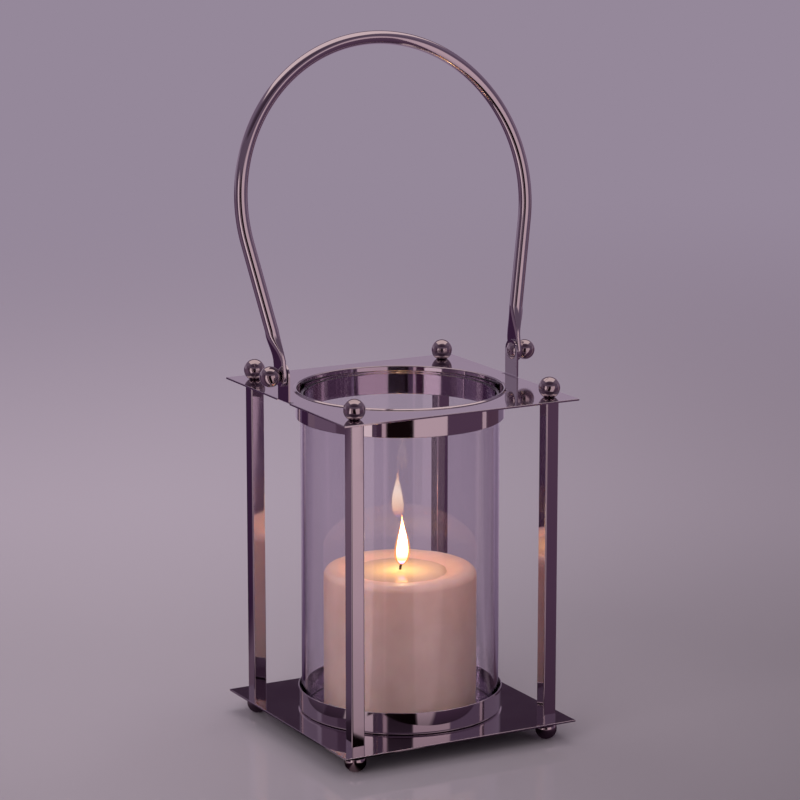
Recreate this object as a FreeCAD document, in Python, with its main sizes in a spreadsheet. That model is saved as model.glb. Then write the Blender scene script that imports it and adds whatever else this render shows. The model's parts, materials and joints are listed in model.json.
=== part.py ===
"""Candle lantern: two square plates on four posts, a glass cylinder, a pillar candle and a bail handle.

Millimetres, +Z up. The origin is the centre of the footprint, on the plane that the ball feet stand on.
+X runs along the handle's pivot axis, and +Y towards the back.
"""

import FreeCAD, Part
import math
import os

import Sketcher
from FreeCAD import Placement, Rotation, Vector

doc = FreeCAD.newDocument("lantern")

# ---------------------------------------------------------------- driving dimensions

SIZES = {
    "overall_height": 240,  # from the ground to the top of the finials
    "plate_border": 15,  # from the lip of the top plate's opening to the plates' side edges
    "plate_thick": 1.2,
    "plate_edge_round": 0.3,
    "post_inset": 14,  # from a plate's edge to the post's centre, both ways
    "post_width": 9.2,
    "post_wall": 0.8,
    "post_corner": 1,  # outer corner radius of the square tube
    "ball_radius": 7,
    "seat_cut": 0.8,  # depth turned off a ball to make the flat that it bears on
    "ground_cut": 0.5,  # depth ground off a foot where it stands
    "tie_radius": 2.5,
    "tie_grip": 8,  # thread length inside each ball
    "tie_hole_gap": 0.25,  # radial, where a tie rod passes through a plate
    "thread_end_gap": 0.5,  # left beyond a threaded end at the bottom of its hole
    "collar_gap": 2.1,  # radial, between the glass and the collar
    "collar_wall": 0.9,
    "collar_depth": 18,  # below the top plate's upper face
    "collar_lip": 1.5,  # how far the lip reaches over the plate
    "collar_fit": 0.1,  # radial, between the collar and the plate's opening
    "dish_gap": 1.5,  # radial, between the glass and the dish's wall
    "dish_wall": 0.8,
    "dish_height": 15,
    "dish_corner": 2,
    "glass_outer": 64.5,
    "glass_wall": 2.5,
    "glass_top_gap": 3,  # from the glass's rim up to the top plate's upper face
    "glass_rim_round": 1,
    "candle_radius": 50,
    "candle_height": 93,
    "candle_edge": 3,  # rounding of the candle's upper edge
    "candle_dip": 2.5,  # depth of the melted hollow round the wick
    "candle_shoulder": 3,  # flat ring between the rounded edge and the hollow
    "wick_radius": 0.9,
    "wick_stand": 8,  # above the bottom of the melted hollow
    "pivot_rise": 16.5,  # from the top plate's upper face to the handle's axis
    "ear_width": 15,
    "ear_bend": 1,  # inner radius of the bend
    "relief_width": 1.4,  # slot in the plate on each side of an ear
    "relief_past": 0.8,  # how far the slot runs past the bend
    "screw_radius": 2,
    "screw_head_radius": 5.5,
    "screw_head_height": 2.2,
    "screw_grip": 7,  # thread length inside the knob
    "pivot_gap": 0.05,  # radial, between the pivot screw and what it passes through
    "side_gap": 0.2,  # along the pivot, on each side of the handle's eye
    "knob_radius": 6.7,
    "handle_radius": 4.4,
    "handle_clear": 0.8,  # between the round part of the handle and the plate's side edge
    "handle_bulge": 13.8,  # how far the arch's centre line swings out beyond the legs' feet
    "handle_rise": 106,  # from the pivot axis to the arch's centre
    "handle_lean": 10,  # degrees that the handle leans back from upright
    "eye_thick": 2.8,
    "eye_width": 14,
    "eye_reach": 9,  # from the pivot axis to the end of the flat
    "eye_fade": 20,  # height over which the flat swells into the round bar
}

sheet = doc.addObject("Spreadsheet::Sheet", "dims")
for row, (alias, value) in enumerate(SIZES.items(), 1):
    sheet.set(f"A{row}", alias)
    sheet.set(f"B{row}", str(value))
    sheet.setAlias(f"B{row}", alias)
doc.recompute()


def size(alias):
    """The sheet's value of a driving dimension."""
    return float(sheet.get(alias))


# Heights and offsets that several pieces share, as expressions on the sheet.
BALL_SEAT = "(dims.ball_radius - dims.seat_cut)"
KNOB_SEAT = "(dims.knob_radius - dims.seat_cut)"
FOOT_STAND = "(dims.ball_radius - dims.ground_cut)"
UNDER_BOTTOM = f"({FOOT_STAND} + {BALL_SEAT})"
ON_BOTTOM = f"({UNDER_BOTTOM} + dims.plate_thick)"
ON_TOP = f"(dims.overall_height - dims.ball_radius - {BALL_SEAT})"
UNDER_TOP = f"({ON_TOP} - dims.plate_thick)"
DISH_FLOOR = f"({ON_BOTTOM} + dims.dish_wall)"
PIVOT_HEIGHT = f"({ON_TOP} + dims.pivot_rise)"
COLLAR_INNER = "(dims.glass_outer + dims.collar_gap)"
COLLAR_OUTER = f"({COLLAR_INNER} + dims.collar_wall)"
COLLAR_LIP = f"({COLLAR_OUTER} + dims.collar_lip)"
DISH_INNER = "(dims.glass_outer + dims.dish_gap)"
EDGE = f"({COLLAR_LIP} + dims.plate_border)"
CORNER = f"({EDGE} - dims.post_inset)"
EAR_INSIDE = f"({EDGE} - dims.plate_thick)"
KNOB_FACE = f"({EDGE} + 2 * dims.side_gap + dims.eye_thick)"
PIVOT_HOLE = "(dims.screw_radius + dims.pivot_gap)"

SIDES = {"left": -1, "right": 1}
CORNERS = {
    "front_left": (-1, -1),
    "front_right": (1, -1),
    "back_left": (-1, 1),
    "back_right": (1, 1),
}
RIM_SHARE = 0.45  # most of a wall that the rounding of its rim may take
LIP_ROUND = 0.7  # rounding of the collar's lip, as a share of its wall
DOME_TOP = 0.6  # width of a screw dome's flat top, as a share of the head
DOME_RIM = 0.45  # height of the head's straight rim, as a share of the head
FADE_STEPS = 5  # sections between the handle's flat and its round bar

parts = {}


# ---------------------------------------------------------------- helpers for PartDesign bodies


def new_body(label):
    body = doc.addObject("PartDesign::Body", label)
    body.Label = label
    parts[label] = body
    return body


def origin_plane(body, role):
    return next(feature for feature in body.Origin.OriginFeatures if feature.Role == role)


def new_sketch(body, name, plane="XY_Plane", height=None):
    """A sketch on one of the body's own origin planes, lifted by an expression."""
    sketch = body.newObject("Sketcher::SketchObject", name)
    sketch.AttachmentSupport = (origin_plane(body, plane), "")
    sketch.MapMode = "FlatFace"
    if height:
        sketch.setExpression("AttachmentOffset.Base.z", height)
    return sketch


def bind(sketch, constraint, expression):
    index = sketch.addConstraint(constraint)
    sketch.setExpression(f"Constraints[{index}]", expression)


def add_circle(sketch, radius, x=None, y=None):
    """A circle whose radius, and centre if it isn't the origin, follow expressions."""
    start = Vector(1 if x else 0, 1 if y else 0, 0)
    edge = sketch.addGeometry(Part.Circle(start, Vector(0, 0, 1), 1.0), False)
    if x or y:
        bind(sketch, Sketcher.Constraint("DistanceX", -1, 1, edge, 3, start.x), x)
        bind(sketch, Sketcher.Constraint("DistanceY", -1, 1, edge, 3, start.y), y)
    else:
        sketch.addConstraint(Sketcher.Constraint("Coincident", edge, 3, -1, 1))
    bind(sketch, Sketcher.Constraint("Radius", edge, 1.0), radius)
    return edge


def add_square(sketch, side):
    """A square centred on the sketch's origin."""
    corners = [Vector(x, y, 0) for x, y in ((-1, -1), (1, -1), (1, 1), (-1, 1))]
    first = sketch.GeometryCount
    for start, end in zip(corners, corners[1:] + corners[:1]):
        sketch.addGeometry(Part.LineSegment(start, end), False)
    for k in range(4):
        sketch.addConstraint(
            Sketcher.Constraint("Coincident", first + k, 2, first + (k + 1) % 4, 1)
        )
        turn = "Horizontal" if k % 2 == 0 else "Vertical"
        sketch.addConstraint(Sketcher.Constraint(turn, first + k))
    sketch.addConstraint(Sketcher.Constraint("Symmetric", first, 1, first + 1, 2, -1, 1))
    bind(sketch, Sketcher.Constraint("DistanceX", first, 1, first, 2, 2.0), side)
    bind(sketch, Sketcher.Constraint("DistanceY", first + 1, 1, first + 1, 2, 2.0), side)


def add_outline(sketch, points):
    """A closed outline of straight edges; each corner is a pair of expressions."""
    places = [Vector(*(evaluate(e) for e in pair), 0) for pair in points]
    first = sketch.GeometryCount
    count = len(places)
    for start, end in zip(places, places[1:] + places[:1]):
        sketch.addGeometry(Part.LineSegment(start, end), False)
    for k, (x, y) in enumerate(points):
        edge = first + k
        sketch.addConstraint(
            Sketcher.Constraint("Coincident", edge, 2, first + (k + 1) % count, 1)
        )
        pin_point(sketch, edge, 1, x, y)


def add_ear(sketch, half_width, level):
    """An upright tab from the sketch's origin line, with a round top centred at the level."""
    half, top = evaluate(half_width), evaluate(level)
    right_foot, left_foot = Vector(half, 0, 0), Vector(-half, 0, 0)
    right_top, left_top = Vector(half, top, 0), Vector(-half, top, 0)
    base = sketch.addGeometry(Part.LineSegment(left_foot, right_foot), False)
    right = sketch.addGeometry(Part.LineSegment(right_foot, right_top), False)
    circle = Part.Circle(Vector(0, top, 0), Vector(0, 0, 1), half)
    crown = sketch.addGeometry(Part.ArcOfCircle(circle, 0, math.pi), False)
    left = sketch.addGeometry(Part.LineSegment(left_top, left_foot), False)
    chain = (base, right, crown, left)
    for first, second in zip(chain, chain[1:] + chain[:1]):
        sketch.addConstraint(Sketcher.Constraint("Coincident", first, 2, second, 1))
    pin_point(sketch, base, 1, f"-({half_width})", "0")
    pin_point(sketch, right, 1, half_width, "0")
    pin_point(sketch, right, 2, half_width, level)
    pin_point(sketch, left, 1, f"-({half_width})", level)
    bind(sketch, Sketcher.Constraint("DistanceY", -1, 1, crown, 3, top), level)


def pin_point(sketch, edge, end, x, y):
    """Ties a point of the sketch to expressions for its two coordinates."""
    bind(sketch, Sketcher.Constraint("DistanceX", -1, 1, edge, end, evaluate(x)), x)
    bind(sketch, Sketcher.Constraint("DistanceY", -1, 1, edge, end, evaluate(y)), y)


def evaluate(expression):
    """The value of an expression on the sheet, as a sketch's starting place needs it."""
    value = sheet.evalExpression(str(expression))
    return float(getattr(value, "Value", value))


def pad(body, sketch, length, name="Pad"):
    feature = body.newObject("PartDesign::Pad", name)
    feature.Profile = sketch
    feature.setExpression("Length", length)
    return feature


def cut_through(body, sketch, name="Pocket"):
    feature = body.newObject("PartDesign::Pocket", name)
    feature.Profile = sketch
    feature.Type = "ThroughAll"
    feature.Midplane = True
    return feature


def cut_upwards(body, sketch, length, name):
    feature = body.newObject("PartDesign::Pocket", name)
    feature.Profile = sketch
    feature.Reversed = True
    feature.setExpression("Length", length)


def turned(body, sketch, name="Turned"):
    """Revolves a half section, drawn on the XZ plane, about the Z axis."""
    feature = body.newObject("PartDesign::Revolution", name)
    feature.Profile = sketch
    feature.ReferenceAxis = (sketch, ["V_Axis"])
    feature.Angle = 360
    return feature


def rounded(body, feature, wanted, radius, name="Round"):
    """Fillets the edges of a feature that wanted(edge) picks."""
    doc.recompute()
    edges = [f"Edge{k}" for k, e in enumerate(feature.Shape.Edges, 1) if wanted(e)]
    fillet = body.newObject("PartDesign::Fillet", name)
    fillet.Base = (feature, edges)
    fillet.setExpression("Radius", radius)
    return fillet


def is_ring(edge):
    """True of a level circle about the body's axis, and false of a lone point or seam."""
    return edge.BoundBox.ZLength < 1e-6 and edge.BoundBox.XLength > 1


def is_upright(edge):
    direction = edge.Vertexes[-1].Point - edge.Vertexes[0].Point
    return abs(direction.z) > 0.99 * max(direction.Length, 1e-9)


def place(body, x="0", y="0", z="0"):
    for axis, expression in zip("xyz", (x, y, z)):
        body.setExpression(f"Placement.Base.{axis}", expression)


# ---------------------------------------------------------------- frame


def plate(label, height, opening=None):
    """A square sheet with a hole for each tie rod, and a round opening of the radius given."""
    body = new_body(label)
    outline = new_sketch(body, label + "_outline")
    add_square(outline, f"2 * {EDGE}")
    sheet_metal = pad(body, outline, "dims.plate_thick")
    rounded(body, sheet_metal, lambda edge: True, "dims.plate_edge_round", label + "_edges")
    holes = new_sketch(body, label + "_holes")
    for x, y in CORNERS.values():
        add_circle(holes, "dims.tie_radius + dims.tie_hole_gap", f"{x} * {CORNER}", f"{y} * {CORNER}")
    if opening:
        add_circle(holes, opening)
    cut_through(body, holes, label + "_openings")
    place(body, z=height)
    return body


def top_plate():
    """The upper plate: an ear for the handle is bent up at the middle of each side edge."""
    body = plate("top_plate", UNDER_TOP, f"{COLLAR_OUTER} + dims.collar_fit")
    pivot_level = "dims.plate_thick + dims.pivot_rise"

    outline = new_sketch(body, "ear_outline", "YZ_Plane", EAR_INSIDE)
    add_ear(outline, "dims.ear_width / 2", pivot_level)
    ear = pad(body, outline, "dims.plate_thick", "ear")

    slots = new_sketch(body, "relief_outline")
    inner = f"{EDGE} - dims.ear_bend - dims.plate_thick - dims.relief_past"
    for way in (-1, 1):
        near, far = f"{way} * dims.ear_width / 2", f"{way} * (dims.ear_width / 2 + dims.relief_width)"
        outer = f"{EDGE} + dims.relief_width"
        add_outline(slots, [(inner, near), (outer, near), (outer, far), (inner, far)])
    relief = cut_through(body, slots, "relief_slots")

    both_sides = body.newObject("PartDesign::Mirrored", "other_side")
    both_sides.Originals = [ear, relief]
    both_sides.MirrorPlane = (origin_plane(body, "YZ_Plane"), [""])
    body.Tip = both_sides

    def is_bend(edge, level, x):
        box = edge.BoundBox
        across = abs(box.YLength - size("ear_width")) < 0.1 and box.XLength < 1e-6
        return across and abs(box.ZMax - level) < 1e-6 and abs(abs(box.XMax) - x) < 1e-6

    def is_inner_bend(edge):
        return is_bend(edge, size("plate_thick"), evaluate(EAR_INSIDE))

    def is_outer_bend(edge):
        return is_bend(edge, 0, evaluate(EDGE))

    inside = rounded(body, both_sides, is_inner_bend, "dims.ear_bend", "bend_inside")
    rounded(body, inside, is_outer_bend, "dims.ear_bend + dims.plate_thick", "bend_outside")
    eyes = new_sketch(body, "ear_eye_outline", "YZ_Plane")
    add_circle(eyes, PIVOT_HOLE, "0", pivot_level)
    cut_through(body, eyes, "ear_eyes")


def post(label, x, y):
    """Square tube that holds the two plates apart."""
    body = new_body(label)
    outline = new_sketch(body, label + "_outline")
    add_square(outline, "dims.post_width")
    bar = pad(body, outline, f"{UNDER_TOP} - {ON_BOTTOM}")
    rounded(body, bar, is_upright, "dims.post_corner")
    bore = new_sketch(body, label + "_bore_outline")
    add_square(bore, "dims.post_width - 2 * dims.post_wall")
    cut_through(body, bore, label + "_bore")
    place(body, f"{x} * {CORNER}", f"{y} * {CORNER}", ON_BOTTOM)


def tie_rod(label, x, y):
    """Threaded rod inside a post, long enough to screw into the ball at each end."""
    rod = doc.addObject("Part::Cylinder", label)
    rod.Label = label
    rod.setExpression("Radius", "dims.tie_radius")
    rod.setExpression("Height", f"{ON_TOP} - {UNDER_BOTTOM} + 2 * dims.tie_grip")
    parts[label] = rod
    place(rod, f"{x} * {CORNER}", f"{y} * {CORNER}", f"{UNDER_BOTTOM} - dims.tie_grip")


def ball_nut(label, radius, seat, thread, grip, stand=None):
    """Ball with a turned flat at z = 0, a blind threaded hole up from it and, as a foot, a ground top."""
    body = new_body(label)
    section = new_sketch(body, label + "_section", "XZ_Plane")
    ball, flat = evaluate(radius), evaluate(seat)
    circle = Part.Circle(Vector(0, flat, 0), Vector(0, 0, 1), ball)
    start = -math.asin(flat / ball)
    arc = section.addGeometry(Part.ArcOfCircle(circle, start, math.pi / 2), False)
    flat_edge = Vector(math.sqrt(ball**2 - flat**2), 0, 0)
    base = section.addGeometry(Part.LineSegment(Vector(), flat_edge), False)
    pole = Vector(0, flat + ball, 0)
    axis = section.addGeometry(Part.LineSegment(pole, Vector()), False)
    for first, second in (((base, 2), (arc, 1)), ((arc, 2), (axis, 1)), ((axis, 2), (base, 1))):
        section.addConstraint(Sketcher.Constraint("Coincident", *first, *second))
    section.addConstraint(Sketcher.Constraint("Coincident", base, 1, -1, 1))
    section.addConstraint(Sketcher.Constraint("Horizontal", base))
    section.addConstraint(Sketcher.Constraint("Vertical", axis))
    section.addConstraint(Sketcher.Constraint("PointOnObject", arc, 3, -2))
    bind(section, Sketcher.Constraint("Radius", arc, ball), radius)
    bind(section, Sketcher.Constraint("DistanceY", -1, 1, arc, 3, flat), seat)
    turned(body, section)
    hole = new_sketch(body, label + "_thread_outline")
    add_circle(hole, thread)
    cut_upwards(body, hole, f"{grip} + dims.thread_end_gap", label + "_thread")
    if stand:
        top = new_sketch(body, label + "_top_outline", height=f"{seat} + {stand}")
        add_circle(top, radius)
        cut_upwards(body, top, radius, label + "_ground_top")
    return body


TIE_END = ("dims.ball_radius", BALL_SEAT, "dims.tie_radius", "dims.tie_grip")


def finial(label, x, y):
    body = ball_nut(label, *TIE_END)
    place(body, f"{x} * {CORNER}", f"{y} * {CORNER}", ON_TOP)


def foot(label, x, y):
    body = ball_nut(label, *TIE_END, stand=FOOT_STAND)
    body.Placement = Placement(Vector(), Rotation(Vector(1, 0, 0), 180))
    place(body, f"{x} * {CORNER}", f"{y} * {CORNER}", UNDER_BOTTOM)


def collar():
    """Band that hangs in the top plate's opening by a turned-out lip and steadies the glass."""
    body = new_body("glass_collar")
    section = new_sketch(body, "collar_section", "XZ_Plane")
    profile = [
        (COLLAR_INNER, "-dims.collar_depth"),
        (COLLAR_OUTER, "-dims.collar_depth"),
        (COLLAR_OUTER, "0"),
        (COLLAR_LIP, "0"),
        (COLLAR_LIP, "dims.collar_wall"),
        (COLLAR_INNER, "dims.collar_wall"),
    ]
    add_outline(section, profile)
    band = turned(body, section)

    def is_lip_edge(edge):
        return edge.BoundBox.ZMin > size("collar_wall") / 2 and is_ring(edge)

    rounded(body, band, is_lip_edge, f"dims.collar_wall * {LIP_ROUND}")
    place(body, z=ON_TOP)


def dish():
    """Shallow pressed pan on the bottom plate that holds the glass and the candle."""
    body = new_body("candle_dish")
    outline = new_sketch(body, "dish_outline")
    add_circle(outline, f"{DISH_INNER} + dims.dish_wall")
    blank = pad(body, outline, "dims.dish_height")

    def is_bottom_rim(edge):
        return edge.BoundBox.ZMax < 1e-6 and is_ring(edge)

    rounded(body, blank, is_bottom_rim, "dims.dish_corner")
    hollow = new_sketch(body, "dish_hollow_outline", height="dims.dish_height")
    add_circle(hollow, DISH_INNER)
    pressed = body.newObject("PartDesign::Pocket", "dish_hollow")
    pressed.Profile = hollow
    pressed.setExpression("Length", "dims.dish_height - dims.dish_wall")

    def is_floor_rim(edge):
        return abs(edge.BoundBox.ZMax - size("dish_wall")) < 1e-6 and is_ring(edge)

    rounded(body, pressed, is_floor_rim, "dims.dish_corner - dims.dish_wall", "dish_floor_round")
    place(body, z=ON_BOTTOM)


# ---------------------------------------------------------------- glass and candle


def glass():
    """Open glass tube that stands in the dish, with its rim inside the collar."""
    body = new_body("glass_cylinder")
    outline = new_sketch(body, "glass_outline")
    add_circle(outline, "dims.glass_outer")
    add_circle(outline, "dims.glass_outer - dims.glass_wall")
    tube = pad(body, outline, f"{ON_TOP} - dims.glass_top_gap - {DISH_FLOOR}")

    rounded(body, tube, is_ring, f"min(dims.glass_rim_round; dims.glass_wall * {RIM_SHARE})")
    place(body, z=DISH_FLOOR)


def candle():
    """Pillar candle with a softened edge and a shallow melted hollow round the wick."""
    body = new_body("pillar_candle")
    outline = new_sketch(body, "candle_outline")
    add_circle(outline, "dims.candle_radius")
    wax = pad(body, outline, "dims.candle_height")

    def is_top_rim(edge):
        return edge.BoundBox.ZMin > size("candle_height") / 2 and is_ring(edge)

    rounded(body, wax, is_top_rim, "dims.candle_edge")
    hollow = new_sketch(body, "candle_hollow_section", "XZ_Plane")
    dip = [
        ("0", "dims.candle_height - dims.candle_dip"),
        ("dims.candle_radius - dims.candle_edge - dims.candle_shoulder", "dims.candle_height"),
        ("0", "dims.candle_height"),
    ]
    add_outline(hollow, dip)
    melted = body.newObject("PartDesign::Groove", "candle_hollow")
    melted.Profile = hollow
    melted.ReferenceAxis = (hollow, ["V_Axis"])
    melted.Angle = 360
    bore = new_sketch(body, "wick_bore_outline")
    add_circle(bore, "dims.wick_radius")
    cut_through(body, bore, "wick_bore")
    place(body, z=DISH_FLOOR)


def wick():
    """Braided wick that runs the candle's full height and stands proud of the hollow."""
    cord = doc.addObject("Part::Cylinder", "candle_wick")
    cord.Label = "candle_wick"
    cord.setExpression("Radius", "dims.wick_radius")
    cord.setExpression("Height", "dims.candle_height - dims.candle_dip + dims.wick_stand")
    parts["candle_wick"] = cord
    place(cord, z=DISH_FLOOR)


# ---------------------------------------------------------------- handle and its pivots


def screw(label, side):
    """Dome-headed pivot screw: the head bears on the ear's inner face, the knob takes its thread."""
    body = new_body(label)
    section = new_sketch(body, label + "_section", "XZ_Plane")
    length = f"{KNOB_FACE} - {EAR_INSIDE} + dims.screw_grip"
    profile = [
        ("0", "-dims.screw_head_height"),
        (f"dims.screw_head_radius * {DOME_TOP}", "-dims.screw_head_height"),
        ("dims.screw_head_radius", f"-dims.screw_head_height * {DOME_RIM}"),
        ("dims.screw_head_radius", "0"),
        ("dims.screw_radius", "0"),
        ("dims.screw_radius", length),
        ("0", length),
    ]
    add_outline(section, profile)
    turned(body, section)
    body.Placement = Placement(Vector(), Rotation(Vector(0, 1, 0), 90 * side))
    place(body, f"{side} * {EAR_INSIDE}", "0", PIVOT_HEIGHT)


def knob(label, side):
    """Ball nut outside the handle's eye."""
    body = ball_nut(label, "dims.knob_radius", KNOB_SEAT, "dims.screw_radius", "dims.screw_grip")
    body.Placement = Placement(Vector(), Rotation(Vector(0, 1, 0), 90 * side))
    place(body, f"{side} * {KNOB_FACE}", "0", PIVOT_HEIGHT)


def handle():
    """Bail of round bar: an arch on two straight legs, each forged flat round its pivot eye."""
    radius, rise = size("handle_radius"), size("handle_rise")
    thick, width = size("eye_thick"), size("eye_width")
    reach, fade = size("eye_reach"), size("eye_fade")
    eye_middle = evaluate(f"{EDGE} + dims.side_gap + dims.eye_thick / 2")

    # A leg starts just outside the plate's side edge and meets the arch tangentially.
    flat_end = Vector(eye_middle, 0, reach)
    leg_start = Vector(evaluate(f"{EDGE} + dims.handle_clear + dims.handle_radius"), 0, reach + fade)
    arch = leg_start.x + size("handle_bulge")
    to_centre = math.hypot(leg_start.x, rise - leg_start.z)
    leg = math.sqrt(to_centre**2 - arch**2)
    slope = math.atan2(rise - leg_start.z, -leg_start.x) - math.asin(arch / to_centre)
    along = Vector(math.cos(slope), 0, math.sin(slope))
    tangent = leg_start + along * leg

    def opposite(point):
        return Vector(-point.x, point.y, point.z)

    crown = Vector(0, 0, rise + arch)
    path = Part.Wire(
        [
            Part.LineSegment(leg_start, tangent).toShape(),
            Part.Arc(tangent, crown, opposite(tangent)).toShape(),
            Part.LineSegment(opposite(tangent), opposite(leg_start)).toShape(),
        ]
    )
    round_bar = Part.Wire(Part.Circle(leg_start, along, radius).toShape())
    arch_and_legs = path.makePipeShell([round_bar], True, False)

    def section_at(share):
        """Cross-section between the flat, at 0, and the round bar, at 1."""
        swell = share * share * (3 - 2 * share)
        half_thick = thick / 2 + (radius - thick / 2) * swell
        half_width = width / 2 + (radius - width / 2) * swell
        ellipse = Part.Wire(Part.Ellipse(Vector(), half_width, half_thick).toShape())
        upwards = Vector(0, 0, 1) + (along - Vector(0, 0, 1)) * share
        across = Vector(0, 1, 0)
        turn = Rotation(across, upwards.cross(across), upwards, "ZXY")
        ellipse.Placement = Placement(flat_end + (leg_start - flat_end) * share, turn)
        return ellipse

    shares = [k / FADE_STEPS for k in range(FADE_STEPS)]
    swelling = Part.makeLoft([section_at(share) for share in shares] + [round_bar], True, False)
    inner_face = eye_middle - thick / 2
    flat = Part.makeBox(thick, width, reach, Vector(inner_face, -width / 2, 0))
    tip = Part.makeCylinder(width / 2, thick, Vector(inner_face, 0, 0), Vector(1, 0, 0))
    bore = Part.makeCylinder(evaluate(PIVOT_HOLE), thick, Vector(inner_face, 0, 0), Vector(1, 0, 0))
    end = flat.fuse([tip, swelling]).cut(bore)

    bail = doc.addObject("Part::Feature", "bail_handle")
    bail.Label = "bail_handle"
    other_end = end.mirror(Vector(), Vector(1, 0, 0))
    bail.Shape = arch_and_legs.fuse([end, other_end]).removeSplitter()
    lean = Rotation(Vector(1, 0, 0), -size("handle_lean"))
    bail.Placement = Placement(Vector(0, 0, evaluate(PIVOT_HEIGHT)), lean)
    parts["bail_handle"] = bail


# ---------------------------------------------------------------- assembly

plate("bottom_plate", UNDER_BOTTOM)
top_plate()
for corner, (x, y) in CORNERS.items():
    post("post_" + corner, x, y)
    tie_rod("tie_rod_" + corner, x, y)
    finial("ball_finial_" + corner, x, y)
    foot("ball_foot_" + corner, x, y)
collar()
dish()
glass()
candle()
wick()
for name, side in SIDES.items():
    screw("pivot_screw_" + name, side)
    knob("pivot_knob_" + name, side)
handle()

doc.recompute()
for item in doc.Objects:
    if "Invalid" in item.State or "Error" in item.State:
        raise RuntimeError(f"{item.Label} failed: {item.State}")
os.makedirs("parts", exist_ok=True)
for label, piece in parts.items():
    shape = piece.Shape
    if shape.isNull() or not shape.isValid() or len(shape.Solids) != 1:
        raise RuntimeError(f"{label} isn't one valid solid")
    shape.exportStep(f"parts/{label}.step")
print(f"{len(parts)} parts written")
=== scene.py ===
"""Looks of a candle lantern in mirror-polished steel, with a glass cylinder and a lit pillar candle.

Metres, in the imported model's frame: +Z up, +X along the handle's pivot axis, +Y towards the back.
"""

import json
import math

import bmesh
import bpy
from mathutils import Matrix, Vector, noise


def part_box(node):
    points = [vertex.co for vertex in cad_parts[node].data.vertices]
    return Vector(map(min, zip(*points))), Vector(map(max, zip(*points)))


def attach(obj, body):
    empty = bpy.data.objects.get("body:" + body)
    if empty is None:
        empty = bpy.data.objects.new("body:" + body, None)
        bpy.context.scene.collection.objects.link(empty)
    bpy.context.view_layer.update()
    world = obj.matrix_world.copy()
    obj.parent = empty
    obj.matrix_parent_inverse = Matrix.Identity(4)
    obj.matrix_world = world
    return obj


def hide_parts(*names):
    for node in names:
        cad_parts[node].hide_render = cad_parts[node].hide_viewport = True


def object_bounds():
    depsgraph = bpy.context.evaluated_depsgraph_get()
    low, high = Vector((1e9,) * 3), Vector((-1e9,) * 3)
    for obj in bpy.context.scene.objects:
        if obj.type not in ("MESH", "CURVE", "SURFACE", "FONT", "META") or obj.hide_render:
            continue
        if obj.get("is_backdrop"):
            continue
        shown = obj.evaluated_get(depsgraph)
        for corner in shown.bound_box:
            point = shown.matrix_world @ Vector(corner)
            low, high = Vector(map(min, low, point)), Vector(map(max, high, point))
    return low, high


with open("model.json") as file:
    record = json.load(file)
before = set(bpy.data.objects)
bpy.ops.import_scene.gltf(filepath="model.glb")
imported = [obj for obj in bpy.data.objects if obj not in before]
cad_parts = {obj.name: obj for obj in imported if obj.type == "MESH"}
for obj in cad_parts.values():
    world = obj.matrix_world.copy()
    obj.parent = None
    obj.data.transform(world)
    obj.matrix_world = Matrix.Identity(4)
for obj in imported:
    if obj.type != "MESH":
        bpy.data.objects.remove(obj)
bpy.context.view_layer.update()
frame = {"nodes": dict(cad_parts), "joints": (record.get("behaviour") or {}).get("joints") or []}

MM = 0.001

# ---------------------------------------------------------------- small tools


def linear(hex_colour):
    """An sRGB hex colour such as "#c0ffee" as the linear RGBA that shaders take."""
    channels = [int(hex_colour[k : k + 2], 16) / 255 for k in (1, 3, 5)]
    return [c / 12.92 if c <= 0.04045 else ((c + 0.055) / 1.055) ** 2.4 for c in channels] + [1]


def connect(tree, node, links):
    """Links sockets to a node's inputs, by name or number."""
    for key, socket in links.items():
        tree.links.new(socket, node.inputs[key])


def add_node(tree, kind, settings=(), links=()):
    """A new node; its settings are attributes, inputs by name or number, or a ramp's (place, colour) stops."""
    node = tree.nodes.new(kind)
    for key, value in dict(settings).items():
        if key == "stops":
            elements = node.color_ramp.elements
            while len(elements) < len(value):
                elements.new(1)
            for element, (place, colour) in zip(elements, value):
                element.position = place
                element.color = linear(colour)
        elif isinstance(key, str) and hasattr(node, key):
            setattr(node, key, value)
        else:
            node.inputs[key].default_value = value
    connect(tree, node, dict(links))
    return node


def new_material(name, settings):
    """A material with one Principled shader, and its tree and shader."""
    material = bpy.data.materials.new(name)
    material.use_nodes = True
    tree = material.node_tree
    shader = tree.nodes["Principled BSDF"]
    for key, value in settings.items():
        shader.inputs[key].default_value = value
    return material, tree, shader


def mesh_object(name, vertices, faces, material):
    """A new object with this mesh and material, in the scene."""
    mesh = bpy.data.meshes.new(name)
    mesh.from_pydata([tuple(v) for v in vertices], [], faces)
    piece = bpy.data.objects.new(name, mesh)
    bpy.context.scene.collection.objects.link(piece)
    mesh.materials.append(material)
    return piece


def settle(piece, sharp_angle=40):
    """Faces outwards, smooth shading with crisp edges, and flats that stay flat in a mirror finish."""
    shape = bmesh.new()
    shape.from_mesh(piece.data)
    bmesh.ops.remove_doubles(shape, verts=shape.verts, dist=1e-7)
    bmesh.ops.recalc_face_normals(shape, faces=shape.faces)
    for face in shape.faces:
        face.smooth = True
    for edge in shape.edges:
        edge.smooth = edge.is_manifold and edge.calc_face_angle(0) < math.radians(sharp_angle)
    shape.to_mesh(piece.data)
    shape.free()
    even = piece.modifiers.new("even flats", "WEIGHTED_NORMAL")
    even.keep_sharp = True
    return bake(piece)


def bake(piece):
    """Replaces a piece's mesh by what its modifiers make of it."""
    evaluated = piece.evaluated_get(bpy.context.evaluated_depsgraph_get())
    mesh = bpy.data.meshes.new_from_object(evaluated)
    mesh.name = piece.name
    piece.modifiers.clear()
    piece.data = mesh
    return piece


# ---------------------------------------------------------------- finishes


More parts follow.
